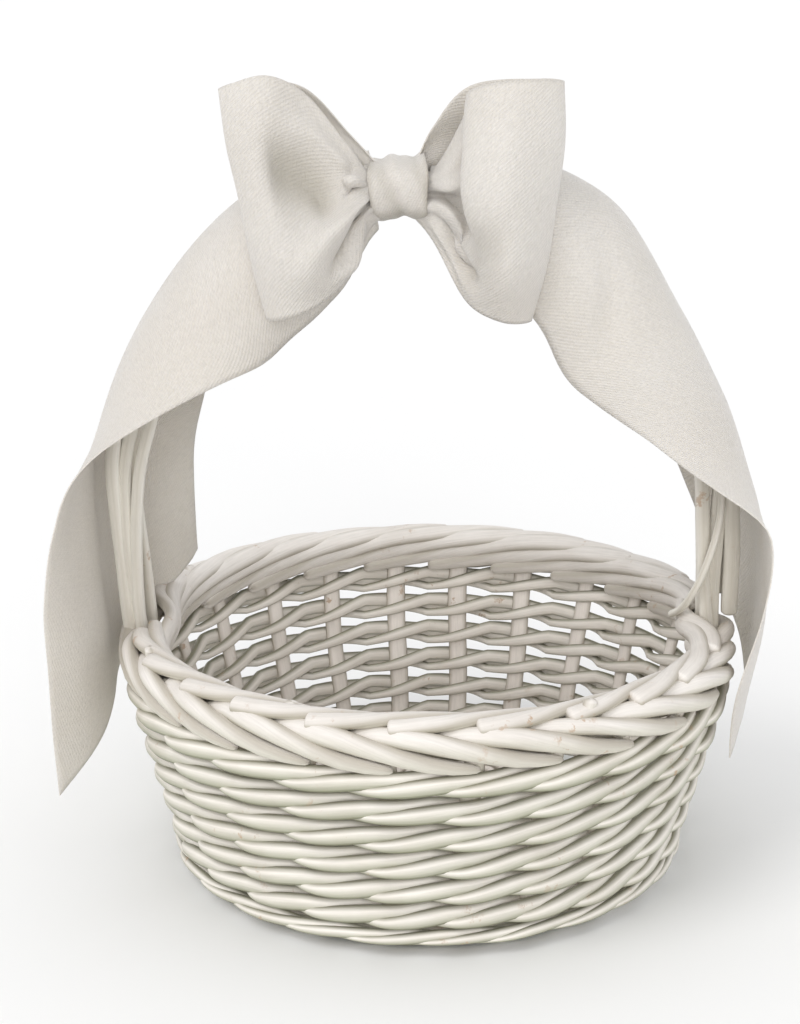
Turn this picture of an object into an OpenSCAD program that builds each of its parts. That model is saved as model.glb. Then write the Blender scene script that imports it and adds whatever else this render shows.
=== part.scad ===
// Flower girl basket: a round bowl of white willow rods with a rolled border,
// a fixed hoop handle of bundled rods and a wide ribbon tied in a bow at its top.
// +Z is up. The origin is the middle of the ring that the basket stands on.
// The hoop spans X and the bow faces -Y.

/* [Bowl] */
// Height of the rim above the floor
rim_height = 95; // [92:1:110]
// Outer radius of the border
rim_radius = 115; // [113:1:125]
// Radius of the stakes where they leave the base
stake_base_radius = 88.5; // [84:0.5:90]
// Number of stakes round the wall, two for each end of a base stick
stake_count = 24; // [24]
// Diameter of a stake
stake_diameter = 4.6; // [3.5:0.1:5]
// Rounds of three-rod wale up the wall
wale_rounds = 6; // [5:1:6]
// Radial thickness of a wale rod
wale_thickness = 4.2; // [3:0.1:5]

/* [Base] */
// Outer radius of the ring that the basket stands on
foot_radius = 84; // [82:0.5:88]
// Radial width of that ring
foot_width = 7; // [5:0.5:8]
// Width of a base stick
stick_width = 6; // [4:0.5:7]
// Distance between the turns of a base weaver
weaver_pitch = 6; // [5:0.5:8]

/* [Hoop handle] */
// Radius of the hoop at the middle of its bundle of rods
hoop_radius = 105; // [100:1:108]
// Height of the middle of the hoop's arc
hoop_centre_height = 148; // [140:1:160]
// Diameter of a hoop rod
hoop_rod_diameter = 5.8; // [4:0.1:6]
// Angle by which the hoop leans to its left, about the rim
hoop_lean = 3.2; // [0:0.2:4]

/* [Ribbon and bow] */
// Thickness of the ribbon
ribbon_thickness = 0.8; // [0.6:0.1:1.2]
// Width of the ribbon across a bow loop
bow_ribbon_width = 88; // [70:1:90]
// Width of the wrapped knot, along the hoop
knot_width = 20; // [16:1:24]

/* [Hidden] */
STAKES = [for (i = [1:stake_count]) str("stake_", i)];
WALE = [for (i = [1:wale_rounds]) for (j = [1:3]) str("wale_", i, "_rod_", j)];
HOOP = [for (i = [1:5]) str("hoop_rod_", i)];
$fn = 32;

gap = 0.3;
step = 360 / stake_count;

// Heights of the base's layers, from the floor up
foot_height = 4.6;
weaver_height = 3;
weaver_z = 1.2;
stick_height = 2.8;
stick_z = weaver_z + weaver_height + 0.2;
weaver_upper_z = stick_z + 2 * stick_height + 0.4;
stake_z = stick_z + stick_height + 0.1;
stick_length = 2 * (foot_radius - foot_width - 0.5);

// The wall leans outwards at one slope, and the border sits on it
border_z = 77;
stake_top_radius = rim_radius - 7.4;
wall_slope = (stake_top_radius - stake_base_radius) / (border_z - stake_z);
wale_z = 10.2;
wale_pitch = (border_z - 0.4 - wale_z) / (3 * wale_rounds);
wale_swing = (stake_diameter + wale_thickness) / 2 + 0.8;
steps_per_stake = 4;

// Where a stake's foot ends inside the base, and how far its leg runs down past the foot
stake_inner_end = 76;
stake_heel = 3.4;

function stake_radius(z) = stake_base_radius + wall_slope * (z - stake_z);
function polar(r, a) = [r * cos(a), r * sin(a)];
function smooth(t) = t * t * (3 - 2 * t);
function mix(a, b, t) = a + (b - a) * t;

/* ---------- base ---------- */

module disc_ring(outer, width, z, height) {
    translate([0, 0, z]) difference() {
        cylinder(r = outer, h = height, $fn = 96);
        translate([0, 0, -1]) cylinder(r = outer - width, h = height + 2, $fn = 96);
    }
}

// A stick runs straight through the crossing in the middle, then opens out to its own spoke
module base_stick(turn, offset, z) {
    crossing = 15;
    reach = stick_length / 2;
    spoke = polar(reach, turn);
    inner = [crossing, offset];
    translate([0, 0, z]) linear_extrude(stick_height) union() {
        translate([-crossing, offset - stick_width / 2]) square([2 * crossing, stick_width]);
        for (side = [0, 1]) mirror([side, 0]) stick_end(inner, spoke);
    }
}

module stick_end(inner, spoke) {
    along = (spoke - inner) / norm(spoke - inner);
    across = [-along[1], along[0]] * stick_width / 2;
    start = inner - along * 1.5;
    polygon([start - across, spoke - across, spoke + across, start + across]);
}

module base_sticks() color("#d8d2c6") {
    for (i = [-1:1]) base_stick(i * 30, i * (stick_width + 1), stick_z);
    rotate([0, 0, 90])
        for (i = [-1:1]) base_stick(i * 30, i * (stick_width + 1), stick_z + stick_height + 0.2);
}

// One long rod laid round and round in a spiral, above or below the sticks
module base_weaver(z) {
    start = 14;
    turns = floor((foot_radius - foot_width - gap - start) / weaver_pitch - 0.95);
    width = weaver_pitch - 0.6;
    path = [for (a = [0:20:360 * turns]) [start + weaver_pitch * a / 360, a]];
    inner = [for (p = path) polar(p[0], p[1])];
    outer = [for (i = [len(path) - 1:-1:0]) polar(path[i][0] + width, path[i][1])];
    translate([0, 0, z]) linear_extrude(weaver_height) polygon(concat(inner, outer));
}

module base_weaver_lower() color("#d6d0c3") base_weaver(weaver_z);
module base_weaver_upper() color("#d6d0c3") base_weaver(weaver_upper_z);
module foot_rod() color("#dcdacb") disc_ring(foot_radius, foot_width, 0, foot_height);
module upsett_rod() color("#dcdacb")
    disc_ring(stake_base_radius + stake_diameter / 2 + 4.8, 4, foot_height + gap, 5);

/* ---------- wall ---------- */

// A stake's foot lies beside a base stick and its leg leans out from a heel at the base's edge
module stake(i) color("#e4ddd2") {
    r = stake_diameter / 2;
    lean = atan(wall_slope);
    rotate([0, 0, (i - 0.5) * step]) translate([0, 0, stake_z]) {
        translate([stake_inner_end, 0, 0]) rotate([0, 90, 0])
            cylinder(r = r - 0.2, h = stake_base_radius - stake_inner_end);
        translate([stake_base_radius, 0, 0]) rotate([0, lean, 0]) translate([0, 0, -stake_heel])
            cylinder(r = r, h = (border_z - stake_z) / cos(lean) + stake_heel);
    }
}

// Each wale rod goes in front of two stakes and behind the next
function side_of(k, rod) = (k + rod) % 3 == 0 ? -1 : 1;
function wale_side(t, rod) = mix(
    side_of(floor(t), rod),
    side_of(floor(t) + 1, rod),
    smooth(t - floor(t))
);
function wale_path(z, rod, offset) = [
    for (n = [0:stake_count * steps_per_stake - 1])
        let (t = n / steps_per_stake, a = (t + 0.5) * step)
            polar(stake_radius(z) + wale_swing * wale_side(t, rod) + offset, a)
];

module wale_rod(round, rod) color("#e6e1d6") {
    z = wale_z + wale_pitch * (3 * (round - 1) + rod - 1);
    middle = z + wale_pitch / 2;
    translate([0, 0, z]) linear_extrude(wale_pitch - 0.2) difference() {
        polygon(wale_path(middle, rod + round, wale_thickness / 2));
        polygon(wale_path(middle, rod + round, -wale_thickness / 2));
    }
}

/* ---------- border ---------- */

module round_ring(r, z, diameter) {
    translate([0, 0, z]) rotate_extrude($fn = 96) translate([r, 0]) circle(d = diameter);
}

module border_outer_lower() color("#f0ebe0") round_ring(rim_radius - 3.6, border_z + 4, 7.2);
module border_outer_upper() color("#f2ede4") round_ring(rim_radius - 3.7, rim_height - 5.4, 7.4);

// The inner rods stop on each side of the hoop's legs
module border_inner() color("#f2ede4") {
    half_gap = 11;
    for (turn = [0, 180]) rotate([0, 0, turn + half_gap]) translate([0, 0, rim_height - 4.2])
        rotate_extrude(angle = 180 - 2 * half_gap, $fn = 96)
            translate([rim_radius - 11.8, 0]) circle(d = 8.2);
}

/* ---------- hoop handle ---------- */

// Place of each rod in the bundle: across the bundle, towards the back, and where it ends
hoop_rods = [
    [-6.1, -3.0, border_z + 0.6],
    [0.0, -3.0, border_z + 0.6],
    [6.1, -3.0, rim_height + gap],
    [-3.1, 2.7, border_z + 0.6],
    [3.1, 2.7, rim_height + gap]
];
lean_pivot = [0, 0, rim_height - 5];

module lean_hoop() {
    translate(lean_pivot) rotate([0, -hoop_lean, 0]) translate(-lean_pivot) children();
}

module hoop_rod(i) color("#ece7dc") {
    rod = hoop_rods[i - 1];
    r = hoop_radius + rod[0];
    lean_hoop() translate([0, rod[1], 0]) {
        translate([0, 0, hoop_centre_height]) rotate([90, 0, 0])
            rotate_extrude(angle = 180, $fn = 96) translate([r, 0]) circle(d = hoop_rod_diameter);
        for (side = [-1, 1]) translate([side * r, 0, rod[2]])
            cylinder(d = hoop_rod_diameter, h = hoop_centre_height - rod[2]);
    }
}

/* ---------- ribbon ---------- */

// A sheet of even thickness over a grid of points, closed all round
module sheet(grid, thickness) {
    rows = len(grid);
    cols = len(grid[0]);
    function at(i, j) = grid[min(max(i, 0), rows - 1)][min(max(j, 0), cols - 1)];
    function normal(i, j) =
        let (n = cross(at(i + 1, j) - at(i - 1, j), at(i, j + 1) - at(i, j - 1))) n / norm(n);
    top = [for (i = [0:rows - 1]) for (j = [0:cols - 1]) at(i, j) + normal(i, j) * thickness / 2];
    low = [for (i = [0:rows - 1]) for (j = [0:cols - 1]) at(i, j) - normal(i, j) * thickness / 2];
    size = rows * cols;
    function id(i, j, side) = i * cols + j + side * size;
    faces = concat(
        [for (i = [0:rows - 2]) for (j = [0:cols - 2]) each [
            [id(i, j, 0), id(i, j + 1, 0), id(i + 1, j + 1, 0)],
            [id(i, j, 0), id(i + 1, j + 1, 0), id(i + 1, j, 0)],
            [id(i, j, 1), id(i + 1, j + 1, 1), id(i, j + 1, 1)],
            [id(i, j, 1), id(i + 1, j, 1), id(i + 1, j + 1, 1)]
        ]],
        [for (i = [0:rows - 2]) for (j = [0, cols - 1]) each edge_faces(
            id(i, j, 0), id(i + 1, j, 0), id(i, j, 1), id(i + 1, j, 1), j > 0)],
        [for (j = [0:cols - 2]) for (i = [0, rows - 1]) each edge_faces(
            id(i, j, 0), id(i, j + 1, 0), id(i, j, 1), id(i, j + 1, 1), i == 0)]
    );
    polyhedron(concat(top, low), faces);
}

function edge_faces(a, b, c, d, flip) =
    flip ? [[a, c, d], [a, d, b]] : [[a, d, c], [a, b, d]];

// Each row is a station down one tail: distance from the knot along the hoop, gap between
// the ribbon's ridge and the hoop's middle, then the front flap's length and the angle it
// hangs at, and the same for the back flap. 0 degrees points away from the hoop's plane.
left_tail = [
    [10, 11, 29, 53, 15, 40],
    [25, 13.5, 55, 52, 34, 50],
    [49, 14.5, 66, 64, 28, 50],
    [84, 11, 62, 61, 32, 50],
    [98, 10, 55, 51, 39, 48],
    [112, 10, 50, 41, 44, 45],
    [130, 10.5, 44, 25, 50, 40],
    [145, 11, 41, 4, 53, 37],
    [157, 11, 41, -8, 53, 37],
    [178, 11.5, 42, -19, 52, 38],
    [200, 12, 43, -24, 51, 37],
    [300, 13, 43, -26, 51, 37]
];
right_tail = [
    [10, 11, 29, 53, 15, 40],
    [25, 13.5, 52, 52, 36, 50],
    [49, 16, 62, 58, 32, 50],
    [72, 17, 67, 58, 27, 50],
    [89, 12.5, 66, 60, 28, 50],
    [105, 10, 63, 58, 31, 48],
    [120, 10, 59, 54, 35, 46],
    [133, 10, 55, 49, 39, 44],
    [144, 10, 51, 43, 43, 41],
    [155, 10, 47, 35, 47, 36],
    [165, 10, 43, 20, 50, 31],
    [172, 10.5, 43, 4, 51, 28],
    [180, 11, 43, -8, 51, 26],
    [198, 11.5, 44, -7, 50, 21],
    [217, 12, 44, -3, 50, 17],
    [262, 12.5, 44, 8, 50, 14]
];
// Lengths of each tail along its front and its back edge, where the slanted cut ends it
left_cut = [275, 204];
right_cut = [262, 225];
tail_rows = 26;
tail_cols = 10;
knot_angle = 1.6;
arc_end = 90;

function column(table, k) = [for (row = table) [row[0], row[k]]];
function hoop_point(s, radius) =
    let (a = s / hoop_radius * 180 / PI)
        a < arc_end
            ? [radius * sin(a), 0, hoop_centre_height + radius * cos(a)]
            : [radius, 0, hoop_centre_height - (a - arc_end) * PI / 180 * hoop_radius];
function hoop_outward(s) =
    let (a = min(s / hoop_radius * 180 / PI, arc_end)) [sin(a), 0, cos(a)];

// A flap is an arc that leaves the ridge level and turns down by twice its hanging angle
function flap(length, angle, v, front) =
    let (half = max(abs(angle * v), 0.01), chord = length * v * sin(half) / (half * PI / 180))
        let (turn = half * sign(angle))
            [-chord * sin(turn), (front ? -1 : 1) * chord * cos(turn)];

function tail_point(table, cut, u, v) =
    let (
        first = table[0][0],
        share = (1 - v) / 2,
        s = mix(first, mix(cut[1], cut[0], share), u),
        front = v < 0,
        length = lookup(s, column(table, front ? 2 : 4)),
        angle = lookup(s, column(table, front ? 3 : 5)),
        section = flap(length, angle, abs(v), front),
        ridge = hoop_point(s, hoop_radius + lookup(s, column(table, 1)))
    )
        ridge + hoop_outward(s) * section[0] + [0, section[1], 0];

module tail(table, cut) {
    grid = [for (i = [0:tail_rows]) [for (j = [0:tail_cols])
        tail_point(table, cut, i / tail_rows, 2 * j / tail_cols - 1)]];
    sheet(grid, ribbon_thickness);
}

module ribbon_tail_left() color("#f3efe6") lean_hoop() mirror([1, 0, 0]) tail(left_tail, left_cut);
module ribbon_tail_right() color("#f3efe6") lean_hoop() tail(right_tail, right_cut);

/* ---------- bow ---------- */

hoop_top = hoop_centre_height + hoop_radius;
knot_x = -1;
knot_depth = [-24, 10.5];
knot_height = 21.4;
knot_wall = 2;

function bezier(a, b, c, d, t) =
    a * pow(1 - t, 3) + 3 * b * t * pow(1 - t, 2) + 3 * c * t * t * (1 - t) + d * pow(t, 3);

// A loop leaves the knot, runs out to its fold and comes back behind itself.
// v is 0 on the ribbon's lower edge and 1 on its upper edge. The fan is how fast it opens.
function loop_point(low, high, fan, u, v) =
    let (
        spread = v - 0.5,
        root = [2, -17.5, hoop_top + 14 * spread],
        back_root = root + [0, 5, 0],
        fold = mix(low, high, v) + [3 * sin(180 * v), 0, 0],
        reach = fold[0] - root[0],
        front_a = root + [reach * 0.2, -loop_bulge * 0.8, fan * spread],
        front_b = fold + [-reach * 0.3, -loop_bulge, 12 * spread],
        back_b = fold + [-reach * 0.15, loop_bulge * 0.9, 8 * spread],
        back_a = back_root + [reach * 0.3, loop_bulge * 0.5, fan * spread]
    )
        u < 0.5
            ? bezier(root, front_a, front_b, fold, 2 * u)
            : bezier(fold, back_b, back_a, back_root, 2 * u - 1);

// The ribbon leans back a little, so a loop stands less tall than the ribbon is wide
loop_half = 0.46 * bow_ribbon_width;
loop_bulge = 20;
loop_rows = 24;
loop_cols = 8;

module loop(low, high, fan) {
    grid = [for (i = [0:loop_rows]) [for (j = [0:loop_cols])
        loop_point(low, high, fan, i / loop_rows, j / loop_cols)]];
    sheet(grid, ribbon_thickness);
}

module bow_loop_left() color("#f5f1e9") lean_hoop() translate([knot_x, 0, 0]) mirror([1, 0, 0])
    loop([46, -32, hoop_top + 2 - loop_half], [57, -28, hoop_top + loop_half], 46);
module bow_loop_right() color("#f5f1e9") lean_hoop() translate([knot_x, 0, 0])
    loop([45, -32, hoop_top - 3 - loop_half], [57, -28, hoop_top - 3 + loop_half], 66);

// The knot is a band that wraps the hoop and the gathered ribbon in front of it
module knot_outline(inset) {
    depth = (knot_depth[1] - knot_depth[0]) / 2 - inset;
    half = knot_height / 2 - inset;
    power = 0.6;
    polygon([for (a = [0:10:350])
        [depth * sign(cos(a)) * pow(abs(cos(a)), power), half * sign(sin(a)) * pow(abs(sin(a)), power)]]);
}

module bow_knot() color("#f0ece2") lean_hoop()
    translate([knot_x - knot_width / 2, (knot_depth[0] + knot_depth[1]) / 2, hoop_top])
        rotate([90, 0, 90]) linear_extrude(knot_width) difference() {
            knot_outline(0);
            knot_outline(knot_wall);
        }

/* ---------- the assembly ---------- */

base_sticks();
base_weaver_lower();
base_weaver_upper();
foot_rod();
upsett_rod();
for (i = [1:stake_count]) stake(i);
for (i = [1:wale_rounds]) for (j = [1:3])
    wale_rod(i, j);
border_outer_lower();
border_outer_upper();
border_inner();
for (i = [1:5]) hoop_rod(i);
ribbon_tail_left();
ribbon_tail_right();
bow_loop_left();
bow_loop_right();
bow_knot();
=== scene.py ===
import math

import bpy
import numpy as np
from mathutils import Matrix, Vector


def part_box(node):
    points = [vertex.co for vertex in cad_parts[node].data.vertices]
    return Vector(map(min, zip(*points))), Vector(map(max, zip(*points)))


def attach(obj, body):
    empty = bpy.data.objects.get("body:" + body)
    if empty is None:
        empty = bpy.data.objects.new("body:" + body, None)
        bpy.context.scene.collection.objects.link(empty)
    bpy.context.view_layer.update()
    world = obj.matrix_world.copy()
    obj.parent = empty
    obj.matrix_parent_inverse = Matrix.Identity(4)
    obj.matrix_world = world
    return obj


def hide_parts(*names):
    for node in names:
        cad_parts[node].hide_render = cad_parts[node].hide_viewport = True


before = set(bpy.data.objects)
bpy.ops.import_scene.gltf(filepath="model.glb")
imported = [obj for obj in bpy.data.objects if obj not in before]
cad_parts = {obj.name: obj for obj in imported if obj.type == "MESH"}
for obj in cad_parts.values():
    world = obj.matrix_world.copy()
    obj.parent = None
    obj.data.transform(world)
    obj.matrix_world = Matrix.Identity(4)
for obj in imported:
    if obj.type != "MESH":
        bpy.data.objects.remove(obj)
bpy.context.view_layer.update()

# Flower girl basket. The helpers below work in millimetres, and new_mesh() turns them into metres.
MM = 0.001


def box_mm(node):
    """The lowest and highest corners of a CAD node, in millimetres."""
    low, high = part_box(node)
    return np.array(low) / MM, np.array(high) / MM


STAKES = 24
STAKE_TURN = 2 * math.pi / STAKES
WALE_ROUNDS = 6
WALE_RODS = 3

RIM_RADIUS = box_mm("border_outer_upper")[1][0]
BORDER_LOW = box_mm("border_outer_lower")[0][2]
BORDER_TOP = box_mm("border_inner")[1][2]
FOOT_RADIUS = box_mm("foot_rod")[1][0]
UPSETT_LOW, UPSETT_HIGH = box_mm("upsett_rod")
WALE_LOW = box_mm("wale_1_rod_1")[0][2]
WALE_HIGH = box_mm(f"wale_{WALE_ROUNDS}_rod_{WALE_RODS}")[1][2]
BASE_LOW = box_mm("base_weaver_lower")[0][2]
BASE_HIGH = box_mm("base_weaver_upper")[1][2]

# The line that the stakes stand on: out along the base, then up the leaning wall
STAKE_BASE_RADIUS = 88.5
STAKE_TOP_RADIUS = RIM_RADIUS - 7.4
STAKE_Z = 7.3
STAKE_INNER_END = 76.0
STAKE_BEND = 7.0
STAKE_WIDTH = 7.2
STAKE_DEPTH = 2.4

HOOP_RADIUS = 105.0
HOOP_CENTRE_Z = 148.0
HOOP_TOP = HOOP_RADIUS + HOOP_CENTRE_Z
HOOP_LEAN = math.radians(3.2)
LEAN_PIVOT = np.array([0.0, 0.0, 90.0])
KNOT_X = -1.0
RIBBON_THICKNESS = 0.45
UP = np.array([0.0, 0.0, 1.0])


# ---------- curves and noise ----------

def through(keys, values, x):
    """A smooth curve through the values at the keys."""
    keys = np.asarray(keys, float)
    values = np.asarray(values, float)
    slope = np.gradient(values, keys)
    x = np.clip(x, keys[0], keys[-1])
    i = np.clip(np.searchsorted(keys, x) - 1, 0, len(keys) - 2)
    span = keys[i + 1] - keys[i]
    t = (x - keys[i]) / span
    ends = (2 * t**3 - 3 * t**2 + 1) * values[i] + (3 * t**2 - 2 * t**3) * values[i + 1]
    return ends + span * ((t**3 - 2 * t**2 + t) * slope[i] + (t**3 - t**2) * slope[i + 1])


def ease(x):
    """0 below 0, 1 above 1, and smooth between."""
    x = np.clip(x, 0, 1)
    return x * x * (3 - 2 * x)


def wander(rng, x, span, waves, size):
    """A smooth random curve that closes on itself after span, with these numbers of waves."""
    total = sum(np.sin(2 * math.pi * k * x / span + rng.uniform(0, 2 * math.pi)) for k in waves)
    return size * total / len(waves)


def ring_point(azimuth, radius, z):
    return np.stack([radius * np.cos(azimuth), radius * np.sin(azimuth), z + 0 * azimuth], axis=-1)


def stake_azimuth(t):
    """The azimuth of stake number t, where t may lie between two stakes."""
    return (t - 0.5) * STAKE_TURN


def wall_radius(z):
    """The radius of the stakes' middle at a height."""
    share = (z - STAKE_Z) / (BORDER_LOW - STAKE_Z)
    return STAKE_BASE_RADIUS + (STAKE_TOP_RADIUS - STAKE_BASE_RADIUS) * share


def wale_radius(z):
    """The line that the wale rods swing about, a little outside the stakes."""
    return wall_radius(z) + 0.5


def unit(v):
    return v / np.maximum(np.linalg.norm(v, axis=-1, keepdims=True), 1e-9)


def lean_hoop(points):
    """The hoop and all that is tied to it lean to the basket's left, about the rim."""
    q = np.asarray(points, float) - LEAN_PIVOT
    c, s = math.cos(HOOP_LEAN), math.sin(HOOP_LEAN)
    x, y, z = q[..., 0], q[..., 1], q[..., 2]
    return np.stack([x * c - z * s, y, x * s + z * c], axis=-1) + LEAN_PIVOT


# ---------- meshes ----------

def new_mesh(name, points, faces, uvs, smooth, crevice, material):
    """A mesh object from points in millimetres, with a uv pair for each corner of each face."""
    mesh = bpy.data.meshes.new(name)
    mesh.from_pydata((np.asarray(points) * MM).tolist(), [], faces)
    layer = mesh.uv_layers.new(name="UVMap")
    layer.data.foreach_set("uv", (np.concatenate(uvs) * MM).astype(np.float32).ravel())
    mesh.polygons.foreach_set("use_smooth", smooth)
    shade = mesh.attributes.new("crevice", "FLOAT", "POINT")
    shade.data.foreach_set("value", np.asarray(crevice, np.float32))
    mesh.materials.append(material)
    piece = bpy.data.objects.new(name, mesh)
    bpy.context.scene.collection.objects.link(piece)
    return piece


def dress(piece, slot, *nodes):
    """Ties a piece to the body and hides the CAD nodes that it stands for. Slot is not used."""
    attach(piece, "root")
    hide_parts(*nodes)
    return piece


def resampled(table, spacing, ends):
    """The columns of a rod's table, the path first, at even steps with extra steps at its ends."""
    steps = np.linalg.norm(np.diff(table[:, :3], axis=0), axis=1)
    along = np.concatenate([[0], np.cumsum(steps)])
    close = np.array([0, 0.04, 0.15, 0.35, 0.65, 1])
    wanted = np.concatenate([
        np.arange(ends[0] + spacing, along[-1] - ends[1] - 0.5 * spacing, spacing),
        ends[0] * close,
        along[-1] - ends[1] * close,
    ])
    wanted = np.sort(wanted)
    rows = np.stack([np.interp(wanted, along, column) for column in table.T], axis=-1)
    return wanted, rows


def rod(name, path, outward, width, depth, material, closed=False, ends=(1.4, 1.4), sides=12):
    """A willow rod along a path. Depth is its size towards outward and width its size across that.
    Its crevice values rise towards its two narrow sides, where rods touch, and mark painted shade
    there."""
    count = len(path)
    sizes = [np.broadcast_to(width, count), np.broadcast_to(depth, count)]
    table = np.column_stack([path, outward * np.ones((count, 3))] + sizes)
    if closed:
        turned = np.roll(table[:, :3], -1, axis=0)
        along = np.concatenate([[0], np.cumsum(np.linalg.norm(turned - table[:, :3], axis=1))])
        ahead = unit(turned - np.roll(table[:, :3], 1, axis=0))
        taper = np.ones(count)
    else:
        along, table = resampled(table, 2.4, ends)
        ahead = unit(np.gradient(table[:, :3], axis=0))
        nearest = [np.clip(along / ends[0], 0, 1), np.clip((along[-1] - along) / ends[1], 0, 1)]
        taper = 0.22 + 0.78 * np.prod([np.sqrt(1 - (1 - s) ** 2) for s in nearest], axis=0)
    path, outward = table[:, :3], table[:, 3:6]
    deep = unit(outward - np.sum(outward * ahead, axis=1, keepdims=True) * ahead)
    wide = np.cross(ahead, deep)
    turn = np.arange(sides) * 2 * math.pi / sides
    half_deep = (table[:, 7] * taper / 2)[:, None, None] * np.cos(turn)[:, None]
    half_wide = (table[:, 6] * taper / 2)[:, None, None] * np.sin(turn)[:, None]
    points = path[:, None] + deep[:, None] * half_deep + wide[:, None] * half_wide
    crevice = np.tile(np.sin(turn) ** 4, len(path))

    rings = len(path)
    girth = 1.6 * (np.mean(table[:, 6]) + np.mean(table[:, 7]))
    faces, uvs = [], []
    for i in range(rings if closed else rings - 1):
        here, there = i * sides, (i + 1) % rings * sides
        for j in range(sides):
            k = (j + 1) % sides
            faces.append((here + j, here + k, there + k, there + j))
            low, high = j * girth / sides, (j + 1) * girth / sides
            u, w = along[i], along[i + 1]
            uvs.append([[u, low], [u, high], [w, high], [w, low]])
    smooth = [True] * len(faces)
    if not closed:
        disc = np.stack([np.cos(turn), np.sin(turn)], axis=-1) * girth / 6
        faces += [tuple(range(sides - 1, -1, -1)), tuple(range((rings - 1) * sides, rings * sides))]
        uvs += [disc[::-1], disc]
        smooth += [False, False]
    return new_mesh(name, points.reshape(-1, 3), faces, [np.asarray(c) for c in uvs], smooth,
                    crevice, material)


def grid_normals(grid):
    across = np.gradient(grid, axis=1)
    down = np.gradient(grid, axis=0)
    return unit(np.cross(down, across))


def cloth(name, grid, thickness, material, crevice):
    """A closed thin sheet over a grid of points, rows down its length and columns across it.
    Crevice has a value for each point, high in the folds."""
    rows, columns = grid.shape[:2]
    normal = grid_normals(grid)
    layers = [grid + normal * thickness / 2, grid - normal * thickness / 2]
    points = np.concatenate([layer.reshape(-1, 3) for layer in layers])
    steps_down = np.linalg.norm(np.diff(grid, axis=0), axis=2).mean(axis=1)
    steps_across = np.linalg.norm(np.diff(grid, axis=1), axis=2).mean(axis=0)
    down = np.concatenate([[0], np.cumsum(steps_down)])
    across = np.concatenate([[0], np.cumsum(steps_across)])
    size = rows * columns
    faces, uvs = [], []

    def add(corners, sides):
        faces.append(tuple(i * columns + j + side * size for (i, j), side in zip(corners, sides)))
        uvs.append(np.array([[down[i], across[j]] for i, j in corners]))

    for i in range(rows - 1):
        for j in range(columns - 1):
            corners = [(i, j), (i + 1, j), (i + 1, j + 1), (i, j + 1)]
            add(corners, [0] * 4)
            add(corners[::-1], [1] * 4)
    for i in range(rows - 1):
        add([(i, 0), (i, 0), (i + 1, 0), (i + 1, 0)], [0, 1, 1, 0])
        last = columns - 1
        add([(i + 1, last), (i + 1, last), (i, last), (i, last)], [0, 1, 1, 0])
    for j in range(columns - 1):
        add([(0, j + 1), (0, j + 1), (0, j), (0, j)], [0, 1, 1, 0])
        last = rows - 1
        add([(last, j), (last, j), (last, j + 1), (last, j + 1)], [0, 1, 1, 0])
    smooth = [True] * (2 * (rows - 1) * (columns - 1))
    smooth += [False] * (len(faces) - len(smooth))
    crevice = np.tile(np.clip(crevice, 0, 1).ravel(), 2)
    return new_mesh(name, points, faces, uvs, smooth, crevice, material)


# ---------- materials ----------

BARE_WOOD = (0.47, 0.31, 0.19, 1)


def new_material(name):
    """A material and short hands for adding and linking its nodes."""
    material = bpy.data.materials.new(name)
    material.use_nodes = True
    tree = material.node_tree
    shader = tree.nodes["Principled BSDF"]

    def node(kind, links=(), **settings):
        made = tree.nodes.new("ShaderNode" + kind)
        for key, value in settings.items():
            if hasattr(made, key):
                setattr(made, key, value)
            else:
                made.inputs[key.replace("_", " ")].default_value = value
        for socket, source in dict(links).items():
            tree.links.new(source, made.inputs[socket])
        return made

    return material, shader, node, tree.links.new


def colour_mix(node, factor, low, high, how="MIX"):
    """A mix of two colours, each a socket or a plain colour."""
    mixed = node("Mix", data_type="RGBA", blend_type=how)
    tree = mixed.id_data
    for index, value in ((0, factor), (6, low), (7, high)):
        if isinstance(value, bpy.types.NodeSocket):
            tree.links.new(value, mixed.inputs[index])
        else:
            mixed.inputs[index].default_value = value
    return mixed.outputs[2]


def ramp(node, source, *stops):
    """A colour ramp with these (place, grey) stops."""
    made = node("ValToRGB", {"Fac": source})
    elements = made.color_ramp.elements
    while len(elements) < len(stops):
        elements.new(0.5)
    for element, (place, grey) in zip(elements, stops):
        element.position = place
        element.color = (grey, grey, grey, 1)
    return made.outputs["Color"]


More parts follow.
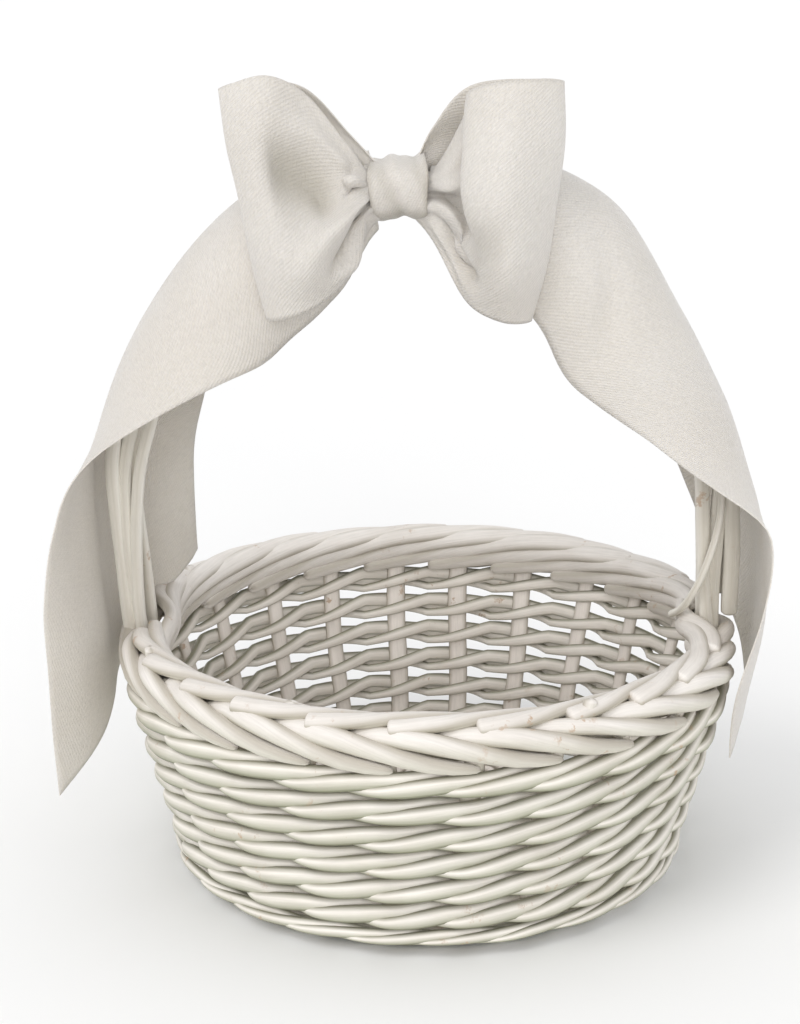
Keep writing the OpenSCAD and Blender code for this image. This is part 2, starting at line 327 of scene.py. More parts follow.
def painted_willow(name, paint, shaded, crevice_shade_colour, reach, underside_shade_colour, wear):
    """White paint over peeled willow: streaks along the rod, thin patches, painted shade where rods
    touch and spots where the wood shows. The painted shade is full where crevice is at reach.
    Undersides that face outwards are darkened and tinted green: painted shade and painted reflected
    light."""
    material, shader, node, link = new_material(name)
    uv = node("UVMap", uv_map="UVMap").outputs["UV"]
    place = node("TexCoord").outputs["Object"]
    stretched = node("Mapping", {"Vector": uv}, Scale=(55, 1100, 1)).outputs["Vector"]
    streaks = node("TexNoise", {"Vector": stretched}, Scale=1.0, Detail=5.0, Roughness=0.6)
    patches = node("TexNoise", {"Vector": place}, Scale=42.0, Detail=3.0, Roughness=0.55)
    spots = node("TexNoise", {"Vector": place}, Scale=190.0, Detail=4.0, Roughness=0.65)
    crevice = node("Attribute", attribute_name="crevice").outputs["Fac"]

    tone = colour_mix(node, ramp(node, patches.outputs["Fac"], (0.38, 0), (0.68, 1)), paint, shaded)
    streak = ramp(node, streaks.outputs["Fac"], (0.28, 0.84), (0.6, 1))
    tone = colour_mix(node, 0.75, tone, streak, "MULTIPLY")
    # Painted shade: the rod's narrow sides, where rods touch, are darkened.
    crevice_shade = ramp(node, crevice, (0.08, 0), (reach, 0.85))
    tone = colour_mix(node, crevice_shade, tone, crevice_shade_colour)
    # Painted shade and painted reflected light: undersides that face outwards are darkened and tinted
    # green.
    out_and_down = node("Mapping", {"Vector": place}, Scale=(6, 6, 0), Location=(0, 0, -0.8))
    normal = node("NewGeometry").outputs["Normal"]
    facing = node("VectorMath", {0: normal, 1: out_and_down.outputs["Vector"]},
                  operation="DOT_PRODUCT").outputs["Value"]
    tone = colour_mix(node, ramp(node, facing, (0.28, 0), (1.0, 1)), tone,
                      colour_mix(node, 1.0, tone, underside_shade_colour, "MULTIPLY"))
    bare = node("Math", {0: ramp(node, spots.outputs["Fac"], (wear, 0), (wear + 0.06, 0.75)),
                         1: ramp(node, patches.outputs["Fac"], (0.54, 0), (0.66, 1))},
                operation="MULTIPLY").outputs[0]
    tone = colour_mix(node, bare, tone, BARE_WOOD)
    link(tone, shader.inputs["Base Color"])
    link(node("MapRange", {"Value": streaks.outputs["Fac"]}, To_Min=0.6, To_Max=0.42).outputs[0],
         shader.inputs["Roughness"])
    shader.inputs["Specular IOR Level"].default_value = 0.35
    bump = node("Bump", {"Height": streaks.outputs["Fac"]}, Strength=0.5, Distance=0.0005)
    dents = node("Bump", {"Height": spots.outputs["Fac"], "Normal": bump.outputs["Normal"]},
                 Strength=0.3, Distance=0.0006)
    link(dents.outputs["Normal"], shader.inputs["Normal"])
    return material


def ribbon_silk(name, ivory, shaded, deep):
    """Ivory ribbon in a fine diagonal rib with slubs along the weft and a soft sheen. Its folds are
    darkened with painted shade."""
    material, shader, node, link = new_material(name)
    uv = node("UVMap", uv_map="UVMap").outputs["UV"]
    diagonal = node("Mapping", {"Vector": uv}, Rotation=(0, 0, math.radians(58))).outputs["Vector"]
    twill = node("TexWave", {"Vector": diagonal}, Scale=330.0, Distortion=3.5, Detail=2.0,
                 Detail_Scale=3.0, Detail_Roughness=0.7)
    weft = node("TexWave", {"Vector": uv}, Scale=620.0, Distortion=1.0, Detail=1.0, Detail_Scale=4.0)
    thread = node("Mapping", {"Vector": uv}, Scale=(1500, 420, 1)).outputs["Vector"]
    slubs = node("TexNoise", {"Vector": thread}, Scale=1.0, Detail=3.0, Roughness=0.6)
    clouds = node("TexNoise", {"Vector": node("TexCoord").outputs["Object"]}, Scale=16.0, Detail=2.0)

    tone = colour_mix(node, ramp(node, clouds.outputs["Fac"], (0.35, 0), (0.65, 1)), ivory, shaded)
    rib = ramp(node, twill.outputs["Fac"], (0.15, 0.93), (0.75, 1))
    tone = colour_mix(node, 0.7, tone, rib, "MULTIPLY")
    slub = ramp(node, slubs.outputs["Fac"], (0.32, 0.86), (0.62, 1))
    tone = colour_mix(node, 0.7, tone, slub, "MULTIPLY")
    crevice = node("Attribute", attribute_name="crevice").outputs["Fac"]
    # Painted shade: the sunken folds are darkened.
    tone = colour_mix(node, ramp(node, crevice, (0, 0), (1, 0.6)), tone, deep)
    link(tone, shader.inputs["Base Color"])
    link(node("MapRange", {"Value": slubs.outputs["Fac"]}, To_Min=0.6, To_Max=0.42).outputs[0],
         shader.inputs["Roughness"])
    shader.inputs["Specular IOR Level"].default_value = 0.4
    shader.inputs["Sheen Weight"].default_value = 0.3
    shader.inputs["Sheen Roughness"].default_value = 0.45
    shader.inputs["Subsurface Weight"].default_value = 0.3
    shader.inputs["Subsurface Radius"].default_value = (1.0, 0.95, 0.8)
    shader.inputs["Subsurface Scale"].default_value = 0.0015
    ribs = node("Bump", {"Height": twill.outputs["Fac"]}, Strength=0.45, Distance=0.00035)
    cross = node("Bump", {"Height": weft.outputs["Fac"], "Normal": ribs.outputs["Normal"]},
                 Strength=0.25, Distance=0.0002)
    rough = node("Bump", {"Height": slubs.outputs["Fac"], "Normal": cross.outputs["Normal"]},
                 Strength=0.5, Distance=0.0004)
    link(rough.outputs["Normal"], shader.inputs["Normal"])
    return material


# In each paint below, the colours for where rods touch and for outward undersides are painted shade;
# the latter is also tinted green like reflected light.
WALL_PAINT = painted_willow(
    "painted_willow_wall",
    paint=(0.905, 0.86, 0.795, 1),
    shaded=(0.83, 0.78, 0.71, 1),
    crevice_shade_colour=(0.22, 0.215, 0.14, 1),
    reach=0.8,
    underside_shade_colour=(0.42, 0.45, 0.345, 1),
    wear=0.61,
)
STAKE_PAINT = painted_willow(
    "painted_willow_stake",
    paint=(0.93, 0.87, 0.81, 1),
    shaded=(0.85, 0.79, 0.73, 1),
    crevice_shade_colour=(0.45, 0.40, 0.33, 1),
    reach=0.95,
    underside_shade_colour=(0.70, 0.71, 0.62, 1),
    wear=0.59,
)
BORDER_PAINT = painted_willow(
    "painted_willow_border",
    paint=(0.85, 0.81, 0.765, 1),
    shaded=(0.775, 0.73, 0.68, 1),
    crevice_shade_colour=(0.46, 0.42, 0.35, 1),
    reach=0.98,
    underside_shade_colour=(0.84, 0.85, 0.78, 1),
    wear=0.60,
)
HOOP_PAINT = painted_willow(
    "painted_willow_hoop",
    paint=(0.92, 0.89, 0.82, 1),
    shaded=(0.86, 0.82, 0.75, 1),
    crevice_shade_colour=(0.58, 0.54, 0.46, 1),
    reach=0.98,
    underside_shade_colour=(0.96, 0.97, 0.94, 1),
    wear=0.62,
)
SILK = ribbon_silk(
    "ribbon_silk",
    ivory=(0.725, 0.69, 0.645, 1),
    shaded=(0.68, 0.64, 0.59, 1),
    # The colour of the painted shade in the folds
    deep=(0.30, 0.275, 0.21, 1),
)


# ---------- base ----------

STICK_WIDTH = 5.8
STICK_DEPTH = 2.9
STICK_GAP = 6.6
SPOKE_SPREAD = math.radians(30)
WEAVER_START = 17.0
WEAVER_PITCH = 5.9
WEAVER_WIDTH = 3.6
WEAVER_DEPTH = 3.0


def base_sticks():
    """Six flat sticks laid as a cross, their ends opened out to twelve spokes."""
    reach = FOOT_RADIUS - 8
    spoke_spread = reach * math.sin(SPOKE_SPREAD)
    low, high = box_mm("base_sticks")
    for layer in (0, 1):
        z = low[2] + (high[2] - low[2]) * (0.25 + 0.5 * layer)
        for i in (-1, 0, 1):
            rng = np.random.default_rng(40 + 3 * layer + i)
            x = np.linspace(-reach, reach, 60)
            spread = through([0, 18, 30, reach], [0, 0, 6, spoke_spread], abs(x))
            shortened = x * (1 - 0.12 * abs(i) * abs(x) / reach)
            stray = wander(rng, x, 2 * reach, (1, 2), 0.5)
            across = i * (STICK_GAP + spread) if i else stray
            path = np.stack([shortened, across, z + 0 * x], axis=-1)
            if layer:
                path = np.stack([-path[:, 1], path[:, 0], path[:, 2]], axis=-1)
            width = STICK_WIDTH + wander(rng, x, 2 * reach, (2, 5), 0.4)
            name = f"willow_base_stick_{3 * layer + i + 2}"
            piece = rod(name, path, UP, width, STICK_DEPTH, STAKE_PAINT)
            dress(piece, "willow_base", "base_sticks")


def base_weavers():
    """Two rods twist round each other in a spiral, one over each stick while the other goes under."""
    end = FOOT_RADIUS - 10
    turns = (end - WEAVER_START) / WEAVER_PITCH
    azimuth = np.linspace(0, 2 * math.pi * turns, int(360 * turns / 5))
    middle = (BASE_LOW + BASE_HIGH) / 2
    swing = (BASE_HIGH - BASE_LOW) / 2 - 1.55
    for node, phase in (("base_weaver_upper", 0.0), ("base_weaver_lower", math.pi)):
        rng = np.random.default_rng(60 if phase else 61)
        twist = 6 * azimuth + phase
        radius = WEAVER_START + WEAVER_PITCH * azimuth / (2 * math.pi) + 1.3 * np.sin(twist)
        z = middle + swing * np.cos(twist)
        path = ring_point(azimuth, radius, z)
        width = WEAVER_WIDTH + wander(rng, azimuth, azimuth[-1], (7, 19), 0.3)
        piece = rod("willow_" + node, path, UP, width, WEAVER_DEPTH, STAKE_PAINT, sides=8)
        dress(piece, "willow_base", node)


# ---------- wall ----------

WALE_WIDTH = 6.35
WALE_DEPTH = 4.5
WALE_SWING = 3.6
WALE_RISE = 0.26
# How thick a woven rod is, as a share, where it has turned this far through its three stakes
TURN_KEYS = (-0.5, -0.15, 0.1, 0.85, 1.6, 2.1, 2.5)
TURN_GIRTHS = (0.76, 0.56, 0.5, 1, 0.97, 0.84, 0.76)


def weave_side(q):
    """1 in front of the wall and -1 behind it. A rod is in front while q goes from 0 to 2, of 3."""
    half = 0.5
    q = np.mod(q + 0.5, 3) - 0.5
    return 2 * (ease((q + half) / (2 * half)) - ease((q - 2 + half) / (2 * half))) - 1


def weave_rise(q):
    """A rod climbs from -1 to 1 in front of the wall, and comes down again behind it. It is nearly
    straight both ways and turns at the crossings."""
    q = np.mod(q, 3)
    straight = np.where(q < 2, q - 1, 5 - 2 * q)
    curved = np.where(q < 2, np.sin(math.pi * (q - 1) / 2), np.cos(math.pi * (q - 2)))
    return 0.75 * straight + 0.25 * curved


def woven_ring(name, node, slot, rng, shift, middle, radius_at, swing, rise, width, depth):
    """One rod that goes right round, in front of two stakes and behind the third. It comes out thin,
    broadens in front of the stakes, and is narrower behind. Swing is how far it goes out and in
    from radius_at(z), and rise is how far it goes above and below middle."""
    t = np.linspace(0, STAKES, STAKES * 14, endpoint=False)
    q = np.mod(t + shift, 3)
    side = weave_side(q)
    z = middle + rise * weave_rise(q) + wander(rng, t, STAKES, (7, 11, 16), 0.55)
    stagger = 0.36 * swing * np.where(q < 2, np.sin(math.pi * q), 0)
    reach = swing * np.where(side > 0, 1, 0.8)
    radius = radius_at(z) + reach * side + stagger + wander(rng, t, STAKES, (5, 9, 14), 0.4)
    azimuth = stake_azimuth(t)
    girth = through(TURN_KEYS, TURN_GIRTHS, np.mod(q + 0.5, 3) - 0.5)
    wide = width * girth + wander(rng, t, STAKES, (3, 8, 17), 0.35)
    deep = depth * (0.5 + 0.5 * girth)
    outward = ring_point(azimuth, 1.0, 0.0)
    piece = rod(name, ring_point(azimuth, radius, z), outward, wide, deep, WALL_PAINT, closed=True)
    return dress(piece, slot, node)


def wale():
    """The wall: rounds of three rods that take turns in front of the stakes."""
    pitch = (WALE_HIGH - WALE_LOW) / WALE_ROUNDS
    for round_no in range(WALE_ROUNDS):
        for rod_no in range(WALE_RODS):
            rng = np.random.default_rng(100 + WALE_RODS * round_no + rod_no)
            middle = WALE_LOW + pitch * (round_no + 0.5)
            name = f"willow_wale_{round_no + 1}_{rod_no + 1}"
            node = f"wale_{round_no + 1}_rod_{rod_no + 1}"
            woven_ring(name, node, "willow_wale", rng, rod_no - 0.5, middle, wale_radius,
                       swing=WALE_SWING, rise=WALE_RISE * pitch, width=WALE_WIDTH, depth=WALE_DEPTH)


def foot_and_upsett():
    """The ring that the basket stands on and the first twist above it, each of three rods."""
    foot_middle, foot_z = FOOT_RADIUS - 2.2, 3.0
    upsett_middle = (UPSETT_HIGH[0] + STAKE_BASE_RADIUS) / 2 + 0.6
    upsett_z = (UPSETT_LOW[2] + UPSETT_HIGH[2]) / 2
    for rod_no in range(WALE_RODS):
        rng = np.random.default_rng(130 + rod_no)
        woven_ring(f"willow_foot_{rod_no + 1}", "foot_rod", "willow_base", rng, rod_no - 0.5, foot_z,
                   lambda z: foot_middle + 0 * z, swing=3.0, rise=0.75, width=4.4, depth=4.4)
        woven_ring(f"willow_upsett_{rod_no + 1}", "upsett_rod", "willow_base", rng, rod_no - 0.2,
                   upsett_z, lambda z: upsett_middle + 0 * z, swing=1.7, rise=1.5, width=4.0,
                   depth=3.4)


def stakes():
    """Flat uprights that lie along the base at their feet, turn up and lean out to the border."""
    corner = np.array([STAKE_BASE_RADIUS, STAKE_Z])
    top = np.array([STAKE_TOP_RADIUS, BORDER_LOW + 2])
    foot = np.array([STAKE_INNER_END, STAKE_Z])
    before = corner + (foot - corner) * STAKE_BEND / np.linalg.norm(foot - corner)
    after = corner + (top - corner) * STAKE_BEND / np.linalg.norm(top - corner)
    s = np.linspace(0, 1, 12)[:, None]
    curve = before * (1 - s) ** 2 + 2 * corner * s * (1 - s) + after * s**2
    rise = after + (top - after) * np.linspace(0.05, 1, 24)[:, None]
    profile = np.concatenate([foot[None], curve, rise])
    inside = np.roll(np.gradient(profile, axis=0), 1, axis=1) * [-1, 1]
    for i in range(1, STAKES + 1):
        rng = np.random.default_rng(200 + i)
        height = profile[:, 1]
        azimuth = stake_azimuth(i) + wander(rng, height, 160.0, (1, 2), 0.012)
        path = ring_point(azimuth, profile[:, 0], height)
        flat = unit(ring_point(azimuth, inside[:, 0], inside[:, 1]))
        width = STAKE_WIDTH + rng.uniform(-0.6, 0.5) + wander(rng, height, 80.0, (1, 3), 0.3)
        width = width - 2.2 * ease(1 - (profile[:, 0] - STAKE_INNER_END) / 12)
        piece = rod(f"willow_stake_{i}", path, flat, width, STAKE_DEPTH, STAKE_PAINT)
        dress(piece, "willow_stake", f"stake_{i}")


# ---------- border ----------

BORDER_CORE_RADIUS = RIM_RADIUS - 8.5
BORDER_CORE_Z = (BORDER_LOW + BORDER_TOP) / 2
BORDER_INNER_RADIUS = RIM_RADIUS - 13.0
STRAND_WIDTH = 6.6
STRAND_DEPTH = 6.0
TAIL_WIDTH = 7.2
TAIL_DEPTH = 5.0
# A border tail starts this far past a leg of the hoop, or passes it this much further in
LEG_GAP = math.radians(7)
LEG_DETOUR = 6.8


def border_rod(name, node, rng, first, keys, radii, heights, width, depth, ends):
    """A rod of the border that starts near stake number first and bends along the rim."""
    t = np.linspace(keys[0], keys[-1], 60)
    azimuth = stake_azimuth(first + t)
    radius = through(keys, radii, t) + wander(rng, t, 6.0, (1, 2), 0.5)
    z = through(keys, heights, t) + wander(rng, t, 6.0, (1, 2), 0.45)
    path = ring_point(azimuth, radius, z)
    core = ring_point(azimuth, BORDER_CORE_RADIUS, BORDER_CORE_Z + 0 * z)
    outward = unit(path - core)
    wide = width + wander(rng, t, 3.0, (1, 2), 0.45)
    piece = rod(name, path, outward, wide, depth, BORDER_PAINT, ends=ends, sides=14)
    return dress(piece, "willow_border", node)


def border_strands():
    """Each stake's top is laid over the rim and down its outside, over the next ones."""
    outer = RIM_RADIUS - 3.6
    keys = (-0.1, 0.45, 0.9, 1.35, 1.9, 2.5, 3.1)
    radii = (outer - 4.4, outer - 4.8, outer - 3.5, outer - 0.3, outer + 0.4, outer, outer - 1.5)
    heights = np.array((3.5, 7.0, 10.4, 10.8, 7.4, 2.4, -0.9)) + BORDER_LOW
    for i in range(1, STAKES + 1):
        rng = np.random.default_rng(300 + i)
        node = "border_outer_lower" if i % 2 else "border_outer_upper"
        width = STRAND_WIDTH + rng.uniform(-0.5, 0.6)
        border_rod(f"willow_border_strand_{i}", node, rng, i, keys, radii, heights, width,
                   STRAND_DEPTH, ends=(2.0, 26.0))


def border_tails():
    """Rods that lie along the rim's top, from a cut end at its middle to its inner edge, and then
    run down inside it. They go round the inside of the hoop's legs."""
    top = BORDER_TOP - 2.8
    keys = np.array((0.0, 0.5, 1.1, 1.7, 2.3, 3.0, 3.7, 4.4))
    radii = np.array((6.6, 5.4, 1.6, -0.2, -0.4, 0.2, 0.8, 0.6)) + BORDER_INNER_RADIUS
    heights = np.array((-0.8, 0.2, 0.1, -1.0, -3.4, -7.4, -11.2, -14.0)) + top
    for i in range(1, STAKES + 1):
        rng = np.random.default_rng(330 + i)
        start, stop = keys[0] + rng.uniform(-0.12, 0.12), keys[-1]
        legs = [leg / STAKE_TURN + 0.4 - i for leg in (0.0, math.pi, 2 * math.pi)]
        for at in legs:
            if abs(at - start) < 0.6:
                start = at + LEG_GAP / STAKE_TURN
            if at > 2.6:
                stop = min(stop, at - LEG_GAP / STAKE_TURN)
        t = np.linspace(start, stop, 24)
        detour = sum(LEG_DETOUR * np.exp(-((t - at) / 0.75) ** 2) for at in legs)
        border_rod(f"willow_border_tail_{i}", "border_inner", rng, i + 0.1, t,
                   through(keys, radii, t) - detour, through(keys, heights, t),
                   TAIL_WIDTH + rng.uniform(-0.5, 0.4), TAIL_DEPTH, ends=(1.3, 2.5))


# Each short cut end's azimuth in degrees, distance out from the rim's inner side, and height
BORDER_STUBS = (
    (-117.0, 0.0, 6.0),
    (-61.0, 5.0, 7.5),
    (38.0, 1.0, 6.0),
    (152.0, 3.0, 7.0),
    (-158.0, 4.0, 6.5),
)


def border_stubs():
    """Short cut ends that stand up between the rods of the rim."""
    for i, (degrees, out, height) in enumerate(BORDER_STUBS):
        rng = np.random.default_rng(360 + i)
        azimuth = math.radians(degrees)
        radius = BORDER_INNER_RADIUS + out
        z = np.linspace(BORDER_TOP - 9, BORDER_TOP - 6.5 + height, 12)
        tilt = np.linspace(0, 1, 12)
        path = ring_point(azimuth + 0.02 * tilt, radius + 1.2 * tilt, z)
        piece = rod(f"willow_border_stub_{i + 1}", path, ring_point(np.array(azimuth), 1.0, 0.0),
                    5.2 + rng.uniform(-0.4, 0.4), 4.4, BORDER_PAINT, ends=(1.0, 1.0))
        dress(piece, "willow_border", "border_inner")


# ---------- hoop handle ----------

# Each rod's place in the bundle: across it, towards the back, height of its feet, and thickness
HOOP_RODS = (
    (-6.1, -3.0, 78.0, 5.6),
    (0.0, -3.0, 78.0, 6.3),
    (6.1, -3.0, 87.0, 6.4),
    (-3.1, 2.7, 78.0, 5.7),
    (3.1, 2.7, 94.0, 5.4),
)
# How far the hoop's middle strays outwards from a true arch, at distances from its top along the
# left and the right leg
LEFT_STRAY = ((0, 100, 135, 155, 175, 195, 220, 260), (0, -0.5, 0.8, 2.8, 3.2, 2.2, 0.8, 0))
RIGHT_STRAY = ((0, 60, 90, 112, 135, 150, 170, 190, 215, 260),
               (0, -0.5, -2.4, -3.4, -2.4, 0.4, 3.8, 3.0, 0.8, 0))
# How far the innermost rod is drawn out to the others, and forwards, at its feet
FOOT_DRAW_OUT = 4.6
FOOT_DRAW_FORWARD = 4.2
INNERMOST = 0
# Points of the twig, from the flap of the right tail down to the inside of the rim
TWIG = (
    (107, -5, 144),
    (106.5, -9, 134),
    (104, -10.5, 122),
    (99.5, -11, 109),
    (94.5, -7, 98),
    (91, 4, 91),
)


def hoop_stray(s):
    """How far the hoop's middle is out from a true arch. Distances on the left leg are below 0."""
    return np.where(s < 0, through(*LEFT_STRAY, -s), through(*RIGHT_STRAY, s))


def hoop_line(s, radius):
    """A point on the hoop at the distance s from its top, measured along its middle."""
    angle = s / HOOP_RADIUS
    turned = np.clip(angle, -math.pi / 2, math.pi / 2)
    down = (abs(angle) - abs(turned)) * HOOP_RADIUS
    height = HOOP_CENTRE_Z + radius * np.cos(turned) - down
    return np.stack([radius * np.sin(turned), 0 * s, height], axis=-1)


def hoop_rods():
    """Five rods in a loose bundle. It is packed closer on the left, and closes up at its feet."""
    quarter = HOOP_RADIUS * math.pi / 2
    for i, (across, back, foot, thick) in enumerate(HOOP_RODS):
        rng = np.random.default_rng(400 + i)
        end = quarter + HOOP_CENTRE_Z - foot
        s = np.linspace(-end, end, 260)
        loose = ease((abs(s) - 60) / 90) * (1 - 0.6 * ease((abs(s) - end + 30) / 30))
        packed = ease((-s - 60) / 60)
        drawn = ease((abs(s) - 140) / 80) * (i == INNERMOST)
        radius = HOOP_RADIUS + hoop_stray(s) + across * (1 + 0.1 * loose - 0.26 * packed)
        radius = radius + FOOT_DRAW_OUT * drawn
        radius = radius + wander(rng, s, 560.0, (2, 3, 5), 2.2) * loose
        path = hoop_line(s, radius)
        path[:, 1] = back + wander(rng, s, 520.0, (2, 3, 5), 2.2) * loose - FOOT_DRAW_FORWARD * drawn
        outward = hoop_line(s, HOOP_RADIUS + 1) - hoop_line(s, HOOP_RADIUS)
        width = thick * (1 - 0.13 * packed) + wander(rng, s, 600.0, (3, 7, 11), 0.35)
        piece = rod(f"willow_hoop_{i + 1}", lean_hoop(path), unit(outward), width, 0.94 * width,
                    HOOP_PAINT, ends=(1.6, 1.6))
        dress(piece, "willow_hoop", f"hoop_rod_{i + 1}")


def hoop_twig():
    """A thin twig that crosses the right leg and is tucked in behind the rim."""
    places = np.array(TWIG)
    keys = np.arange(len(places))
    t = np.linspace(0, keys[-1], 60)
    path = np.stack([through(keys, places[:, k], t) for k in range(3)], axis=-1)
    outward = unit(path * [1, 1, 0] + [0, -60, 0])
    piece = rod("willow_hoop_twig", path, outward, 2.9, 2.7, HOOP_PAINT, ends=(1.0, 2.0))
    dress(piece, "willow_hoop", "hoop_rod_3")


# ---------- ribbon ----------

# Each row is a station down one tail: distance from the knot along the hoop, gap between the
# ribbon's ridge and the hoop's middle, the front flap's length and the angle it hangs at, and the
# same for the back flap. 0 degrees points away from the hoop's plane.
LEFT_TAIL = (
    (10, 11, 29, 53, 15, 40),
    (25, 12.5, 55, 59, 34, 50),
    (49, 14.5, 66, 64, 28, 50),
    (84, 11, 62, 61, 32, 50),
    (98, 10, 55, 51, 39, 48),
    (112, 10, 50, 41, 45, 48),
    (130, 10.5, 44, 25, 50, 46),
    (145, 11, 41, 4, 53, 44),
    (157, 11, 41, -8, 53, 44),
    (178, 11.5, 42, -19, 52, 44),
    (200, 13, 43, -24, 51, 44),
    (300, 14.4, 43, -26, 51, 44),
)
RIGHT_TAIL = (
    (10, 11, 29, 53, 15, 40),
    (25, 13.5, 52, 52, 36, 50),
    (49, 16, 62, 58, 32, 50),
    (72, 17, 67, 58, 27, 50),
    (89, 12.5, 66, 60, 28, 50),
    (105, 10, 63, 58, 31, 48),
    (120, 10, 59, 54, 35, 46),
    (133, 10, 55, 49, 39, 44),
    (144, 10, 51, 43, 43, 41),
    (155, 10, 47, 35, 47, 36),
    (165, 10, 43, 20, 50, 31),
    (172, 11.5, 43, 5, 51, 28),
    (180, 13.4, 43, -4, 51, 26),
    (198, 16.4, 44, 0, 50, 21),
    (217, 18.8, 44, 8, 50, 15),
    (232, 17.4, 44, 14, 50, 12),
    (247, 13.2, 44, 15, 50, 8),
    (264, 9.4, 44, 12, 50, 5),
)
# Lengths of each tail along its front and its back edge, where the slanted cut ends it
LEFT_CUT = (270.0, 200.0)
RIGHT_CUT = (266.0, 225.0)
KNOT_END = 10.0


def settled(table, s, column):
    """A column of a tail's table at the distances s, evened out over its neighbourhood."""
    rows = np.array(table, float)
    offsets = np.linspace(-12, 12, 7)
    weights = np.hanning(9)[1:-1]
    values = [w * np.interp(s + d, rows[:, 0], rows[:, column]) for d, w in zip(offsets, weights)]
    return sum(values) / weights.sum()


def tail_grid(table, cut, side, rng):
    """One tail's points and crevice values. It lies over the hoop like a roof: a ridge along the
    hoop, with a flap that curves down in front of it and one behind."""
    rows, columns = 120, 44
    u = np.linspace(0, 1, rows)[:, None]
    v = np.linspace(-1, 1, columns)[None, :]
    end = cut[1] + (cut[0] - cut[1]) * ((1 - v) / 2) ** 0.78
    s = KNOT_END + (end - KNOT_END) * u
    is_front = v < 0
    length = np.where(is_front, settled(table, s, 2), settled(table, s, 4))
    angle = np.where(is_front, settled(table, s, 3), settled(table, s, 5))
    # Each flap is an arc that starts level at the ridge, and its chord is at the table's angle
    half = np.radians(np.where(abs(angle * v) < 0.01, 0.01, abs(angle * v)))
    chord = length * abs(v) * np.sin(half) / half
    drop = -chord * np.sin(half) * np.sign(angle)
    out = np.where(is_front, -1, 1) * chord * np.cos(half)
    radius = HOOP_RADIUS + hoop_stray(side * s) + settled(table, s, 1)
    angle_along = np.minimum(s / HOOP_RADIUS, math.pi / 2)
    down = s - angle_along * HOOP_RADIUS
    outward = np.stack([np.sin(angle_along), 0 * s, np.cos(angle_along)], axis=-1)
    ridge = outward * radius[..., None] + np.stack([0 * s, out, HOOP_CENTRE_Z - down], axis=-1)
    grid = ridge + outward * drop[..., None]
    # Pleats near the knot, then soft waves, rippled edges and one valley down the right tail
    gathered = np.exp(-(s - KNOT_END) / 24.0)
    folds = 2.3 * gathered * np.sin(math.pi * (3.5 * v + 0.2 * side)) * np.cos(0.5 * v)
    phase = rng.uniform(0, 2 * math.pi, 4)
    soft = 0.9 * np.sin(s / 31 + 2.2 * v + phase[0]) * np.sin(1.7 * v + phase[1])
    soft = soft + 0.6 * np.sin(s / 17 - 3.1 * v + phase[2]) * ease((abs(v) - 0.25) / 0.5)
    ripple = 1.2 * ease((abs(v) - 0.6) / 0.4) * np.sin(s / 23 + phase[3])
    clear = ease((abs(v) - 0.22) / 0.3)
    off = (v + 0.2 + 0.012 * (s - 55)) / 0.13
    valley = np.exp(-off**2) * ease((s - 40) / 25) * ease((125 - s) / 40)
    soft = soft - 2.4 * valley * (side > 0)
    grid = grid + grid_normals(grid) * (folds + (soft + ripple) * clear)[..., None]
    grid[..., 0] *= side
    shade = -folds / 4
    if side > 0:
        return lean_hoop(grid), shade
    return lean_hoop(grid[:, ::-1]), shade[:, ::-1]


def ribbon_tails():
    for name, table, cut, side, seed in (
        ("left", LEFT_TAIL, LEFT_CUT, -1, 501),
        ("right", RIGHT_TAIL, RIGHT_CUT, 1, 502),
    ):
        grid, shade = tail_grid(table, cut, side, np.random.default_rng(seed))
        piece = cloth(f"silk_tail_{name}", grid, RIBBON_THICKNESS, SILK, shade)
        dress(piece, "ribbon", f"ribbon_tail_{name}")


# ---------- bow ----------

# A net of points for each loop. A row is a station along the ribbon, from the knot out
# along the front to the fold and back behind. Its points go from the lower to the upper edge, each
# as distance out from the knot's middle, distance behind the hoop's plane and height above its top.
LEFT_LOOP = (
    ((4, -14, -6), (4, -19, -3), (4, -16, 0), (4, -19, 3), (4, -14, 6)),
    ((12, -20, -13), (14, -28, -8), (13, -24, -1), (14, -26, 5), (11, -17, 8)),
    ((17, -26, -25), (21, -37, -17), (22, -33, -5), (19, -24, 7), (17, -20, 18)),
    ((28, -37, -33), (32, -43, -20), (32, -34, -1), (30, -27, 18), (29, -24, 36)),
    ((40, -40, -37), (43, -42, -18), (43, -39, 3), (43, -36, 24), (42, -32, 44)),
    ((47, -34, -38), (51, -34, -18), (54, -32, 2), (57, -31, 22), (58, -28, 40)),
    ((41, -20, -36), (45, -18, -17), (48, -17, 3), (51, -16, 23), (50, -18, 41)),
    ((25, -10, -26), (29, -4, -12), (31, -3, 3), (32, -4, 20), (31, -8, 37)),
    ((12, -10, -13), (14, -8, -6), (15, -6, 2), (16, -7, 11), (16, -8, 20)),
    ((4, -12, -6), (4, -11, -3), (4, -12, 0), (4, -11, 3), (4, -12, 6)),
)
RIGHT_LOOP = (
    ((4, -14, -6), (4, -19, -3), (4, -16, 0), (4, -19, 3), (4, -14, 6)),
    ((11, -20, -16), (15, -25, -8), (16, -22, -1), (16, -24, 5), (13, -17, 9)),
    ((18, -24, -31), (23, -27, -19), (25, -27, -4), (25, -24, 11), (24, -18, 26)),
    ((24, -34, -39), (25, -42, -22), (22, -44, -4), (23, -41, 14), (27, -31, 35)),
    ((34, -40, -43), (36, -50, -24), (36, -52, -4), (39, -47, 17), (42, -36, 38)),
    ((43, -33, -44), (49, -35, -24), (53, -34, -4), (57, -32, 16), (58, -28, 36)),
    ((38, -18, -42), (43, -18, -22), (46, -16, -3), (50, -15, 17), (51, -15, 36)),
    ((24, -9, -33), (27, -4, -17), (29, -2, -1), (29, -3, 17), (27, -6, 34)),
    ((11, -10, -17), (13, -8, -8), (14, -6, 1), (14, -7, 11), (13, -8, 21)),
    ((4, -12, -6), (4, -11, -3), (4, -12, 0), (4, -11, 3), (4, -12, 6)),
)
